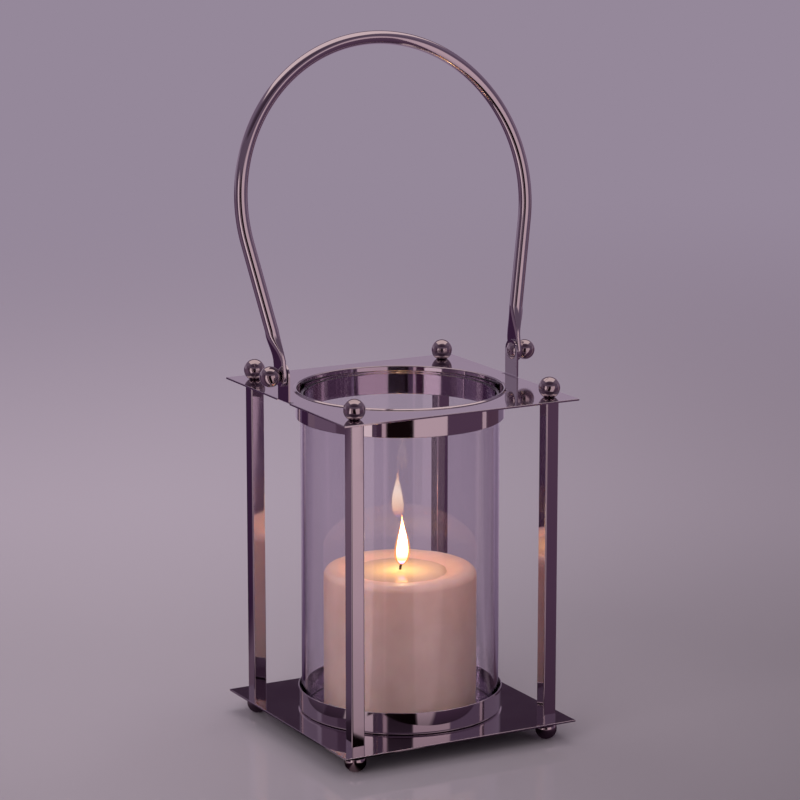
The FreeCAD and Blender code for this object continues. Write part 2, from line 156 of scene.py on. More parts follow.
def share_of_height(tree, low, high):
    """Where a point stands between two heights, from 0 to 1."""
    place = add_node(tree, "ShaderNodeTexCoord").outputs["Object"]
    height = add_node(tree, "ShaderNodeSeparateXYZ", (), {0: place}).outputs["Z"]
    return add_node(
        tree, "ShaderNodeMapRange", {"From Min": low, "From Max": high}, {"Value": height}
    ).outputs["Result"]


def relief(tree, place, size, detail, depth, strength=1, under=None):
    """The normal of soft bumps of a size and a depth, laid over an earlier relief if there is one."""
    clouds = add_node(tree, "ShaderNodeTexNoise", {"Scale": 1 / size, "Detail": detail}, {"Vector": place})
    links = {"Height": clouds.outputs["Fac"]}
    if under:
        links["Normal"] = under
    return add_node(tree, "ShaderNodeBump", {"Strength": strength, "Distance": depth}, links).outputs["Normal"]


HANDLING_PATCH = 35.7 * MM
BUFFING_LINE = 1.111 * MM


def coat_of_finger_marks(tree, place, low, high):
    """Roughness of a buffed surface: mostly clear, with broad cloudy patches where it has been handled."""
    clouds = add_node(
        tree,
        "ShaderNodeTexNoise",
        {"Scale": 1 / HANDLING_PATCH, "Detail": 4, "Roughness": 0.6},
        {"Vector": place},
    )
    return add_node(
        tree, "ShaderNodeMapRange", {"From Min": 0.35, "From Max": 0.75, "To Min": low, "To Max": high},
        {"Value": clouds.outputs["Fac"]},
    ).outputs["Result"]


def polished_steel(name, tone, wave_size, wave_depth, low=0.03, high=0.09):
    """Stainless steel, rolled or turned and then buffed to a mirror: reflections are sharp but swim a little.

    Real buffing lines are too fine to show, so they are drawn about a millimetre apart.
    """
    material, tree, shader = new_material(name, {"Metallic": 1, "Base Color": linear(tone)})
    place = add_node(tree, "ShaderNodeTexCoord").outputs["Object"]
    lines = relief(tree, place, BUFFING_LINE, 2, 0.05 * MM, 0.02)
    waves = relief(tree, place, wave_size, 1, wave_depth, 1, lines)
    connect(tree, shader, {"Roughness": coat_of_finger_marks(tree, place, low, high), "Normal": waves})
    return material


THREAD_PITCH = 0.8 * MM
THREAD_DEPTH = 0.3 * MM
ZINC_CLOUD = 4 * MM
WAVE_PHASE = 20  # radians that the wave texture runs through in one unit at a scale of one


def zinc_plate():
    """Bright zinc on a rolled M5 thread: greyer than the polished parts, cloudy, and ribbed by the thread."""
    material, tree, shader = new_material("zinc plated threaded rod", {"Metallic": 1})
    place = add_node(tree, "ShaderNodeTexCoord").outputs["Object"]
    clouds = add_node(tree, "ShaderNodeTexNoise", {"Scale": 1 / ZINC_CLOUD, "Detail": 3}, {"Vector": place})
    tint = add_node(
        tree,
        "ShaderNodeValToRGB",
        {"stops": [(0.3, "#a3a5aa"), (0.7, "#c0c1c4")]},
        {"Fac": clouds.outputs["Fac"]},
    )
    dulled = add_node(
        tree, "ShaderNodeMapRange", {"To Min": 0.28, "To Max": 0.42}, {"Value": clouds.outputs["Fac"]}
    )
    ribs = add_node(
        tree,
        "ShaderNodeTexWave",
        {"bands_direction": "Z", "Scale": 2 * math.pi / (WAVE_PHASE * THREAD_PITCH)},
        {"Vector": place},
    )
    thread = add_node(
        tree, "ShaderNodeBump", {"Strength": 1, "Distance": THREAD_DEPTH}, {"Height": ribs.outputs["Fac"]}
    )
    looks = {"Base Color": tint.outputs["Color"], "Roughness": dulled.outputs["Result"]}
    connect(tree, shader, {**looks, "Normal": thread.outputs["Normal"]})
    return material


GLASS_WAVE = 22.2 * MM


def clear_glass():
    """Drawn soda-lime glass: clear, a breath of grey-violet in its thickness, wavy along its length."""
    material, tree, shader = new_material(
        "clear drawn glass",
        {"Base Color": linear("#f1ecf4"), "Roughness": 0.0, "IOR": 1.5, "Transmission Weight": 1},
    )
    place = add_node(tree, "ShaderNodeTexCoord").outputs["Object"]
    stretched = add_node(tree, "ShaderNodeMapping", {"Scale": (1, 1, 0.25)}, {"Vector": place})
    waves = relief(tree, stretched.outputs["Vector"], GLASS_WAVE, 1, 0.02 * MM)
    tree.links.new(waves, shader.inputs["Normal"])
    return material


WAX_MOTTLE = 16.7 * MM
WAX_PORE = 2 * MM
WAX_RIPPLE = 9 * MM


def candle_wax(radius, flame_foot):
    """Ivory paraffin wax: light soaks in under its skin, and a painted glow, an emission, stands in for the
    flame's light shining through it round the flame and down from its shoulder.
    """
    material, tree, shader = new_material(
        "ivory paraffin wax with painted glow",
        {
            "Roughness": 0.42,
            "IOR": 1.44,
            "Subsurface Weight": 0.6,
            "Subsurface Radius": (1.0, 0.55, 0.32),
            "Subsurface Scale": 6 * MM,
            "Emission Strength": 0.4,
        },
    )
    place = add_node(tree, "ShaderNodeTexCoord").outputs["Object"]
    mottle = add_node(tree, "ShaderNodeTexNoise", {"Scale": 1 / WAX_MOTTLE, "Detail": 5}, {"Vector": place})
    tint = add_node(
        tree,
        "ShaderNodeValToRGB",
        {"stops": [(0.3, "#dcc3b4"), (0.7, "#e8d2c2")]},
        {"Fac": mottle.outputs["Fac"]},
    )
    tree.links.new(tint.outputs["Color"], shader.inputs["Base Color"])
    dents = relief(tree, place, WAX_MOTTLE, 5, 0.25 * MM, 0.25)
    tree.links.new(relief(tree, place, WAX_PORE, 3, 0.06 * MM, 0.3, dents), shader.inputs["Normal"])

    # Painted glow: an emission that falls off with the distance from the flame's foot, and fast below the
    # candle's top.
    offset = add_node(
        tree, "ShaderNodeVectorMath", {"operation": "SUBTRACT", 1: (0, 0, flame_foot)}, {0: place}
    )
    flattened = add_node(
        tree, "ShaderNodeVectorMath", {"operation": "MULTIPLY", 1: (1, 1, 0.9)}, {0: offset.outputs[0]}
    )
    distance = add_node(tree, "ShaderNodeVectorMath", {"operation": "LENGTH"}, {0: flattened.outputs[0]})
    share = add_node(
        tree, "ShaderNodeMath", {"operation": "DIVIDE", 1: radius * 2}, {0: distance.outputs["Value"]}
    )
    glow = add_node(
        tree,
        "ShaderNodeValToRGB",
        {
            "stops": [
                (0.0, "#ffe2a0"),
                (0.12, "#f6ac58"),
                (0.28, "#ca7034"),
                (0.44, "#9a5230"),
                (0.6, "#522e26"),
                (1, "#000000"),
            ]
        },
        {"Fac": share.outputs[0]},
    )
    glow.color_ramp.interpolation = "B_SPLINE"
    tree.links.new(glow.outputs["Color"], shader.inputs["Emission Color"])
    return material


def melted_wax(radius):
    """Liquid wax in the hollow: wet, almost still, with a painted glow, an emission brightest under the flame,
    and a colour yellower towards the middle and ivory again at its shore.
    """
    material, tree, shader = new_material(
        "melted paraffin wax with painted glow",
        {
            "Roughness": 0.15,
            "IOR": 1.44,
            "Subsurface Weight": 0.7,
            "Subsurface Radius": (1.0, 0.6, 0.35),
            "Subsurface Scale": 8 * MM,
            "Emission Strength": 0.5,
        },
    )
    place = add_node(tree, "ShaderNodeTexCoord").outputs["Object"]
    flat = add_node(tree, "ShaderNodeVectorMath", {"operation": "MULTIPLY", 1: (1, 1, 0)}, {0: place})
    reach = add_node(tree, "ShaderNodeVectorMath", {"operation": "LENGTH"}, {0: flat.outputs[0]})
    share = add_node(
        tree, "ShaderNodeMapRange", {"From Max": radius}, {"Value": reach.outputs["Value"]}
    ).outputs["Result"]
    tint = add_node(tree, "ShaderNodeValToRGB", {"stops": [(0.2, "#f7dca4"), (1, "#e4c8ac")]}, {"Fac": share})
    # Painted glow: an emission that stands in for the flame's light in the pool, brightest under the flame and
    # dimmer at the shore.
    glow = add_node(
        tree,
        "ShaderNodeValToRGB",
        {"stops": [(0.0, "#ffd890"), (0.35, "#e8a860"), (0.7, "#be7a40"), (1, "#a86636")]},
        {"Fac": share},
    )
    ripples = relief(tree, place, WAX_RIPPLE, 1, 0.08 * MM)
    looks = {"Base Color": tint.outputs["Color"], "Emission Color": glow.outputs["Color"]}
    connect(tree, shader, {**looks, "Normal": ripples})
    return material


def charred_wick(low, high):
    """Braided cotton, burnt black above the wax, its tip still glowing."""
    material, tree, shader = new_material("charred cotton", {"Roughness": 0.95, "Emission Strength": 1.2})
    share = share_of_height(tree, low, high)
    char = add_node(
        tree,
        "ShaderNodeValToRGB",
        {"stops": [(0.0, "#8a6a48"), (0.3, "#2a1a12"), (1, "#0c0807")]},
        {"Fac": share},
    )
    ember = add_node(
        tree,
        "ShaderNodeValToRGB",
        {"stops": [(0.75, "#000000"), (0.92, "#c8350a"), (1, "#ff7a2a")]},
        {"Fac": share},
    )
    connect(tree, shader, {"Base Color": char.outputs["Color"], "Emission Color": ember.outputs["Color"]})
    return material


UNLIT = {"Base Color": linear("#000000"), "Roughness": 1, "Specular IOR Level": 0}


def flame_light(low, high):
    """A candle flame: thin blue at the foot, dark over the wick, white-yellow above and orange at the tip."""
    material, tree, shader = new_material("candle flame", {**UNLIT, "Emission Strength": 13})
    body = add_node(
        tree,
        "ShaderNodeValToRGB",
        {
            "stops": [
                (0.0, "#3a4a9a"),
                (0.1, "#c87838"),
                (0.25, "#ffd38a"),
                (0.6, "#fff0c8"),
                (0.85, "#ffc878"),
                (1, "#ff8a3a"),
            ]
        },
        {"Fac": share_of_height(tree, low, high)},
    )
    tree.links.new(body.outputs["Color"], shader.inputs["Emission Color"])
    return material


def flame_veil(low, high):
    """The faint edge of the flame, where the last of the soot burns: orange, and redder towards its tip."""
    material, tree, shader = new_material("outer flame", {**UNLIT, "Alpha": 0.3, "Emission Strength": 1.7})
    edge = add_node(
        tree,
        "ShaderNodeValToRGB",
        {"stops": [(0.0, "#ff9a3c"), (0.5, "#ffa658"), (1, "#f27a3a")]},
        {"Fac": share_of_height(tree, low, high)},
    )
    tree.links.new(edge.outputs["Color"], shader.inputs["Emission Color"])
    return material


# ---------------------------------------------------------------- shapes


def arc(x, z, radius, start, end, steps=8):
    """Points of an arc about (x, z), between two angles in degrees."""
    angles = [math.radians(start + (end - start) * k / steps) for k in range(steps + 1)]
    return [(x + radius * math.cos(a), z + radius * math.sin(a)) for a in angles]


def eased(share):
    """A share from 0 to 1 that sets off and arrives gently."""
    return share * share * (3 - 2 * share)


def rounded_outline(corners, steps=6):
    """A closed outline of (across, up, rounding radius) corners, each turned into an arc of that radius."""
    outline = []
    count = len(corners)
    for k, (x, z, radius) in enumerate(corners):
        here = Vector((x, z))
        back = Vector(corners[k - 1][:2]) - here
        ahead = Vector(corners[(k + 1) % count][:2]) - here
        if radius == 0:
            outline.append(here)
            continue
        back.normalize()
        ahead.normalize()
        half = back.angle(ahead) / 2
        run = radius / math.tan(half)
        centre = here + (back + ahead).normalized() * (radius / math.sin(half))
        first, last = here + back * run - centre, here + ahead * run - centre
        sweep = first.angle_signed(last)
        for step in range(steps + 1):
            turned = first.copy()
            turned.rotate(Matrix.Rotation(-sweep * step / steps, 2))
            outline.append(centre + turned)
    return outline


def turned_ring(name, corners, material, segments=192, steps=6):
    """A closed ring: a rounded outline of (radius, height, rounding) corners turned about the Z axis."""
    outline = rounded_outline(corners, steps)
    count = len(outline)
    vertices, faces = [], []
    for k in range(segments):
        angle = 2 * math.pi * k / segments
        vertices += [(p.x * math.cos(angle), p.x * math.sin(angle), p.y) for p in outline]
        step = k * count
        following = (k + 1) % segments * count
        for j in range(count):
            after = (j + 1) % count
            faces.append((step + j, following + j, following + after, step + after))
    return settle(mesh_object(name, vertices, faces, material))


def turned_solid(name, profile, material, segments=96, sharp_angle=40):
    """A solid turned about Z from a profile of (radius, height) that starts and ends on the axis."""
    vertices, faces = [(0, 0, profile[0][1])], []
    middle = profile[1:-1]
    for radius, height in middle:
        for k in range(segments):
            angle = 2 * math.pi * k / segments
            vertices.append((radius * math.cos(angle), radius * math.sin(angle), height))
    vertices.append((0, 0, profile[-1][1]))
    last = len(vertices) - 1
    for k in range(segments):
        after = (k + 1) % segments
        faces.append((0, 1 + after, 1 + k))
        for row in range(len(middle) - 1):
            low, high = 1 + row * segments, 1 + (row + 1) * segments
            faces.append((low + k, low + after, high + after, high + k))
        top = 1 + (len(middle) - 1) * segments
        faces.append((top + k, top + after, last))
    return settle(mesh_object(name, vertices, faces, material), sharp_angle)


def new_shape_tree(name, sizes):
    """A Geometry Nodes tree with one named input for each size; gives it and its inputs."""
    tree = bpy.data.node_groups.new(name, "GeometryNodeTree")
    tree.interface.new_socket("Geometry", in_out="OUTPUT", socket_type="NodeSocketGeometry")
    for key, value in sizes.items():
        tree.interface.new_socket(key, in_out="INPUT", socket_type="NodeSocketFloat").default_value = value
    return tree, tree.nodes.new("NodeGroupInput").outputs


def finish_tree(tree, geometry, material):
    """Ends a tree with real geometry, smooth faces and its material."""
    real = add_node(tree, "GeometryNodeRealizeInstances", (), {"Geometry": geometry})
    smooth = add_node(tree, "GeometryNodeSetShadeSmooth", (), {"Geometry": real.outputs["Geometry"]})
    finish = add_node(
        tree, "GeometryNodeSetMaterial", {"Material": material}, {"Geometry": smooth.outputs["Geometry"]}
    )
    add_node(tree, "NodeGroupOutput", (), {"Geometry": finish.outputs["Geometry"]})


def run_tree(name, tree, material):
    """A plain mesh object made by a Geometry Nodes tree, whose inputs stand at their own values."""
    carrier = mesh_object(name, [], [], material)
    maker = carrier.modifiers.new("maker", "NODES")
    maker.node_group = tree
    for item in tree.interface.items_tree:
        if item.in_out == "INPUT" and item.socket_type == "NodeSocketFloat":
            maker[item.identifier] = item.default_value
    return bake(carrier)


def ball_shape(tree, inputs):
    """A ball with its underside and its top cut flat at the given distances from its centre."""
    ball = add_node(
        tree, "GeometryNodeMeshUVSphere", {"Segments": 72, "Rings": 48}, {"Radius": inputs["Radius"]}
    )
    place = add_node(tree, "GeometryNodeInputPosition").outputs["Position"]
    parted = add_node(tree, "ShaderNodeSeparateXYZ", (), {0: place})
    under = add_node(tree, "ShaderNodeMath", {"operation": "MULTIPLY", 1: -1}, {0: inputs["Cut below"]})
    cut = add_node(
        tree,
        "ShaderNodeClamp",
        (),
        {"Value": parted.outputs["Z"], "Min": under.outputs[0], "Max": inputs["Cut above"]},
    )
    raised = add_node(
        tree, "ShaderNodeMath", {"operation": "ADD"}, {0: cut.outputs["Result"], 1: inputs["Centre height"]}
    )
    joined = add_node(
        tree,
        "ShaderNodeCombineXYZ",
        (),
        {"X": parted.outputs["X"], "Y": parted.outputs["Y"], "Z": raised.outputs[0]},
    )
    moved = add_node(
        tree,
        "GeometryNodeSetPosition",
        (),
        {"Geometry": ball.outputs["Mesh"], "Position": joined.outputs["Vector"]},
    )
    return moved.outputs["Geometry"]


def post_shape(tree, inputs):
    """A square bar with rounded arrises, between two heights."""
    square = add_node(
        tree,
        "GeometryNodeCurvePrimitiveQuadrilateral",
        {"mode": "RECTANGLE"},
        {"Width": inputs["Width"], "Height": inputs["Width"]},
    )
    arris = add_node(
        tree,
        "GeometryNodeFilletCurve",
        {"mode": "POLY", "Count": 6},
        {"Curve": square.outputs["Curve"], "Radius": inputs["Arris"]},
    )
    foot = add_node(tree, "ShaderNodeCombineXYZ", (), {"Z": inputs["Foot height"]})
    head = add_node(tree, "ShaderNodeCombineXYZ", (), {"Z": inputs["Head height"]})
    line = add_node(
        tree,
        "GeometryNodeCurvePrimitiveLine",
        (),
        {"Start": foot.outputs["Vector"], "End": head.outputs["Vector"]},
    )
    bar = add_node(
        tree,
        "GeometryNodeCurveToMesh",
        {"Fill Caps": True},
        {"Curve": line.outputs["Curve"], "Profile Curve": arris.outputs["Curve"]},
    )
    return bar.outputs["Mesh"]


# ---------------------------------------------------------------- the frame


CORNERS = ("front_left", "front_right", "back_left", "back_right")


def on_the_corners(name, node, sizes, shape, material):
    """One shape on each of the four corners, in place of the four CAD nodes whose names begin with node.

    A Geometry Nodes tree sets them out; shape(tree, inputs) is the part of it that makes the shape.
    """
    low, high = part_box(node + "front_left")
    spacing = {"Spacing across": -(low.x + high.x), "Spacing deep": -(low.y + high.y)}
    tree, inputs = new_shape_tree(name + " on the corners", {**spacing, **sizes})
    corners = add_node(
        tree,
        "GeometryNodeMeshGrid",
        {"Vertices X": 2, "Vertices Y": 2},
        {"Size X": inputs["Spacing across"], "Size Y": inputs["Spacing deep"]},
    )
    copies = add_node(
        tree,
        "GeometryNodeInstanceOnPoints",
        (),
        {"Points": corners.outputs["Mesh"], "Instance": shape(tree, inputs)},
    )
    finish_tree(tree, copies.outputs["Instances"], material)
    pieces = settle(run_tree(name, tree, material))
    ride_and_replace(pieces, "frame", "polished_steel", *[node + corner for corner in CORNERS])


def make_balls(steel):
    """The four finials and the four feet, turned balls with a flat where they bear."""
    low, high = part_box("ball_finial_front_left")
    radius = (high.x - low.x) / 2
    seat = high.z - low.z - radius
    # A finial's top is round, so its centre is a radius down. A foot's top is its flat seat against the plate.
    for name, node, drop in (("ball_finials", "ball_finial_", radius), ("ball_feet", "ball_foot_", seat)):
        low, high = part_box(node + "front_left")
        centre = high.z - drop
        cuts = {"Cut below": centre - low.z, "Cut above": high.z - centre}
        on_the_corners(name, node, {"Radius": radius, **cuts, "Centre height": centre}, ball_shape, steel)


POST_ARRIS = 0.9 * MM


def make_posts(steel):
    """The four square posts."""
    low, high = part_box("post_front_left")
    sizes = {"Width": high.x - low.x, "Arris": POST_ARRIS, "Foot height": low.z, "Head height": high.z}
    on_the_corners("posts", "post_", sizes, post_shape, steel)


def ride_and_replace(piece, body, slot, *nodes):
    """Sets the body that a piece rides on and hides the CAD nodes that it stands for. The slot is not used."""
    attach(piece, body)
    if nodes:
        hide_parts(*nodes)


COLLAR_WALL = 0.9 * MM
COLLAR_LIP = 1.5 * MM


def make_collar(steel):
    """The band that hangs in the top plate, rolled over at its lip."""
    low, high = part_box("glass_collar")
    lip = high.x
    outer = lip - COLLAR_LIP
    inner = outer - COLLAR_WALL
    edge = COLLAR_WALL * 0.45
    seat = high.z - COLLAR_WALL
    corners = [
        (inner, low.z, edge),
        (outer, low.z, edge),
        (outer, seat, 0),
        (lip, seat, 0.1 * COLLAR_WALL),
        (lip, seat + 0.3 * COLLAR_WALL, 0.15 * COLLAR_WALL),
        (outer + 0.3 * COLLAR_WALL, high.z, COLLAR_WALL),
        (inner, high.z, 0.9 * COLLAR_WALL),
    ]
    collar = turned_ring("glass_collar_rolled", corners, steel)
    ride_and_replace(collar, "frame", "polished_steel", "glass_collar")


DISH_WALL = 0.8 * MM
DISH_CORNER = 2 * MM


def make_dish(steel):
    """The pressed dish: a round-bottomed pan with a rolled rim."""
    low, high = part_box("candle_dish")
    outer = high.x
    inner = outer - DISH_WALL
    floor = low.z + DISH_WALL
    profile = [(0, low.z)]
    profile += arc(outer - DISH_CORNER, low.z + DISH_CORNER, DISH_CORNER, -90, 0)
    rim = DISH_WALL / 2
    profile += arc(outer - rim, high.z - rim, rim, 0, 180)
    bend = DISH_CORNER - DISH_WALL
    profile += arc(inner - bend, floor + bend, bend, 0, -90)
    profile += [(0, floor)]
    dish = turned_solid("candle_dish_pressed", profile, steel, 192)
    ride_and_replace(dish, "frame", "polished_steel", "candle_dish")


PLATE_THICK = 1.2 * MM
SHANK = 2 * MM
PIVOT = Vector(next(j for j in frame["joints"] if j["name"] == "handle_swing")["pos_m"])


def make_knobs_and_screws(steel):
    """The ball nuts outside the handle's eyes and the domed screw heads inside the ears."""
    for side, name in ((-1, "left"), (1, "right")):
        low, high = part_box("pivot_knob_" + name)
        radius = (high.z - low.z) / 2
        seat = (high.x - low.x) - radius
        latitude = math.degrees(math.asin(seat / radius))
        profile = [(0, 0)] + arc(0, seat, radius, -latitude, 90, 32)
        knob = turned_solid("pivot_knob_ball_" + name, profile, steel, 72)
        inner_face = low.x if side > 0 else high.x
        put_on_pivot(knob, side, inner_face)
        ride_and_replace(knob, "frame", "polished_steel", "pivot_knob_" + name)

        low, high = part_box("pivot_screw_" + name)
        head = (high.z - low.z) / 2
        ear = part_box("top_plate")[1].x - PLATE_THICK
        reach = (high.x if side > 0 else -low.x) - ear
        rise = ear - (low.x if side > 0 else -high.x)
        ball = (head * head + rise * rise) / (2 * rise)
        span = math.degrees(math.asin(head / ball))
        dome = arc(0, ball - rise, ball, -90, -90 + span * 0.97, 12)
        profile = dome + [(head, -rise * 0.12), (head, 0), (SHANK, 0), (SHANK, reach), (0, reach)]
        screw = turned_solid("pivot_screw_domed_" + name, profile, steel, 48)
        put_on_pivot(screw, side, side * ear)
        ride_and_replace(screw, "frame", "polished_steel", "pivot_screw_" + name)


def put_on_pivot(piece, side, x):
    """Turns a piece made about Z so that its Z points outwards along the pivot axis, and moves it there."""
    turn = Matrix.Rotation(math.radians(90 * side), 4, "Y")
    piece.data.transform(Matrix.Translation((x, 0, PIVOT.z)) @ turn)


# ---------------------------------------------------------------- the handle

HANDLE_RADIUS = 4.4 * MM
HANDLE_RISE = 106 * MM
HANDLE_LEAN = 10
LEG_CLEAR = 0.8 * MM
EYE_THICK = 2.8 * MM
EYE_WIDTH = 14 * MM
EYE_GAP = 0.2 * MM
EYE_BORE = 2.05 * MM
FLAT_REACH = 9 * MM
FADE = 20 * MM
AROUND = 48
# The exponent of the bar's cross-section: at two it is round, and at seven nearly a rectangle.
ROUND, SQUARE = 2, 7


def handle_stations():
    """Centre, direction, half thickness, half width and squareness along the right half, tip to crown."""
    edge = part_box("top_plate")[1].x
    middle = edge + EYE_GAP + EYE_THICK / 2
    start = Vector((edge + LEG_CLEAR + HANDLE_RADIUS, 0, FLAT_REACH + FADE))
    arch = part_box("bail_handle")[1].x - HANDLE_RADIUS
    to_centre = Vector((-start.x, 0, HANDLE_RISE - start.z))
    leg = math.sqrt(to_centre.length_squared - arch * arch)
    slope = math.atan2(to_centre.z, to_centre.x) - math.asin(arch / to_centre.length)
    along = Vector((math.cos(slope), 0, math.sin(slope)))
    up = Vector((0, 0, 1))
    stations = []
    tip = EYE_WIDTH / 2
    for k in range(1, 13):
        back = tip * math.cos(math.pi / 2 * k / 12)
        half_width = tip * math.sin(math.pi / 2 * k / 12)
        stations.append((Vector((middle, 0, -back)), up, EYE_THICK / 2, half_width, SQUARE))
    stations.append((Vector((middle, 0, FLAT_REACH * 0.6)), up, EYE_THICK / 2, tip, SQUARE))
    for k in range(25):
        share = k / 24
        swell = eased(share)
        centre = Vector((middle, 0, FLAT_REACH)).lerp(start, share)
        centre.x = middle + (start.x - middle) * (share * 0.35 + swell * 0.65)
        half_thick = EYE_THICK / 2 + (HANDLE_RADIUS - EYE_THICK / 2) * swell
        half_width = tip + (HANDLE_RADIUS - tip) * swell
        power = SQUARE + (ROUND - SQUARE) * share**0.5
        stations.append((centre, up.lerp(along, share), half_thick, half_width, power))
    for k in range(1, 9):
        stations.append((start + along * (leg * k / 8), along, HANDLE_RADIUS, HANDLE_RADIUS, ROUND))
    centre = Vector((0, 0, HANDLE_RISE))
    first = slope - math.pi / 2
    for k in range(1, 49):
        angle = first + (math.pi / 2 - first) * k / 48
        outward = Vector((math.cos(angle), 0, math.sin(angle)))
        ahead = Vector((-math.sin(angle), 0, math.cos(angle)))
        stations.append((centre + outward * arch, ahead, HANDLE_RADIUS, HANDLE_RADIUS, ROUND))
    return stations


def make_handle(steel):
    """The bail: round bar forged flat at its two ends, each with a bored eye."""
    right = handle_stations()
    mirrored = [
        (Vector((-c.x, 0, c.z)), Vector((d.x, 0, -d.z)), t, w, n) for c, d, t, w, n in reversed(right[:-1])
    ]
    vertices, faces = [], []
    for centre, direction, half_thick, half_width, power in right + mirrored:
        outward = Vector((direction.z, 0, -direction.x)).normalized()
        for k in range(AROUND):
            angle = 2 * math.pi * k / AROUND
            c, s = math.cos(angle), math.sin(angle)
            thick = math.copysign(abs(c) ** (2 / power), c) * half_thick
            width = math.copysign(abs(s) ** (2 / power), s) * half_width
            vertices.append(centre + outward * thick + Vector((0, width, 0)))
    rows = len(vertices) // AROUND
    for row in range(rows - 1):
        for k in range(AROUND):
            after = (k + 1) % AROUND
            here, ahead = row * AROUND, (row + 1) * AROUND
            faces.append((here + k, here + after, ahead + after, ahead + k))
    faces.append(tuple(range(AROUND))[::-1])
    faces.append(tuple((rows - 1) * AROUND + k for k in range(AROUND)))
    bail = mesh_object("bail_handle_forged", vertices, faces, steel)
    shape = bmesh.new()
    shape.from_mesh(bail.data)
    bmesh.ops.recalc_face_normals(shape, faces=shape.faces)
    shape.to_mesh(bail.data)
    shape.free()

    bore = turned_solid("bore", [(0, -0.2), (EYE_BORE, -0.2), (EYE_BORE, 0.2), (0, 0.2)], steel, 48)
    bore.data.transform(Matrix.Rotation(math.radians(90), 4, "Y"))
    drill = bail.modifiers.new("eyes", "BOOLEAN")
    drill.operation = "DIFFERENCE"
    drill.object = bore
    bake(bail)
    bpy.data.objects.remove(bore)
    settle(bail, 50)
    lean = Matrix.Rotation(math.radians(-HANDLE_LEAN), 4, "X")
    bail.data.transform(Matrix.Translation(PIVOT) @ lean)
    ride_and_replace(bail, "bail", "polished_steel", "bail_handle")


# ---------------------------------------------------------------- glass, candle and flame

GLASS_WALL = 2.5 * MM
GLASS_RIM = 1 * MM


def make_glass(glass):
    """The open glass cylinder, fire-polished at both rims. It throws no shadow of its own on the candle."""
    low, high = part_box("glass_cylinder")
    outer = high.x
    inner = outer - GLASS_WALL
    corners = [
        (inner, low.z, GLASS_RIM),
        (outer, low.z, GLASS_RIM),
        (outer, high.z, GLASS_RIM),
        (inner, high.z, GLASS_RIM),
    ]
    cylinder = turned_ring("glass_cylinder_clear", corners, glass)
    cylinder.visible_shadow = False
    ride_and_replace(cylinder, "glass", "clear_glass", "glass_cylinder")


SHOULDER = 4.5 * MM
FOOT_ROUNDING = 0.8 * MM
RIM_WIDTH = 3 * MM
POOL_RADIUS = 30 * MM
HOLLOW_DEPTH = 2.2 * MM
POOL_BED = 0.2 * MM
POOL_EDGE = 0.3 * MM
MENISCUS = 0.5 * MM
# How the wax is uneven: how often in a metre, and how deep.
SIDE_DENTS = ((35, 0.25 * MM), (140, 0.06 * MM))
SHOULDER_SAGS = (60, 0.5 * MM)


def make_candle():
    """The pillar: a softened shoulder, a rim that has begun to sink and a pool of melted wax round the wick."""
    low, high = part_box("pillar_candle")
    radius = high.x
    top = high.z
    pool_level = top - HOLLOW_DEPTH
    profile = [(0, low.z)]
    profile += arc(radius - FOOT_ROUNDING, low.z + FOOT_ROUNDING, FOOT_ROUNDING, -90, 0, 4)
    rows = 40
    for k in range(1, rows):
        profile.append((radius, low.z + (top - SHOULDER - low.z) * k / rows))
    profile += arc(radius - SHOULDER, top - SHOULDER, SHOULDER, 0, 90, 10)
    inner = radius - SHOULDER - RIM_WIDTH
    for k in range(1, 17):
        share = k / 16
        profile.append((inner + (POOL_RADIUS - inner) * share, top - HOLLOW_DEPTH * eased(share)))
    for k in range(1, 8):
        profile.append((POOL_RADIUS * (1 - k / 8), pool_level - POOL_BED))
    profile.append((0, pool_level - POOL_BED))
    wax = candle_wax(radius, top + FLAME_STAND)
    pillar = turned_solid("pillar_candle_wax", profile, wax, 160, 60)
    for vertex in pillar.data.vertices:
        spread = Vector((vertex.co.x, vertex.co.y, 0))
        if spread.length > POOL_RADIUS and vertex.co.z > low.z + 2 * MM:
            dent = sum(noise.noise(vertex.co * often) * depth for often, depth in SIDE_DENTS)
            vertex.co -= spread.normalized() * abs(dent)
            if vertex.co.z > top - SHOULDER:
                often, depth = SHOULDER_SAGS
                vertex.co.z -= abs(noise.noise(vertex.co * often)) * depth
    ride_and_replace(pillar, "candle", "candle_wax", "pillar_candle")

    # The pool reaches a little under the slope round it, and creeps up at the wick.
    shore = POOL_RADIUS * 1.02
    pool_profile = [(0, pool_level - 2 * POOL_EDGE), (shore, pool_level - 2 * POOL_EDGE)]
    pool_profile += arc(shore, pool_level - POOL_EDGE, POOL_EDGE, -60, 90, 5)
    for k in range(1, 10):
        share = 1 - k / 10
        pool_profile.append((POOL_RADIUS * share, pool_level + MENISCUS * (1 - share) ** 6))
    pool_profile.append((0, pool_level + MENISCUS))
    pool = turned_solid("melted_wax_pool", pool_profile, melted_wax(POOL_RADIUS), 96, 60)
    ride_and_replace(pool, "candle", "candle_wax")
    return pool_level


WICK_RADIUS = 0.9 * MM
WICK_ROOT = 2 * MM
WICK_LEAN = 2.4 * MM
WICK_DROOP = 0.8 * MM


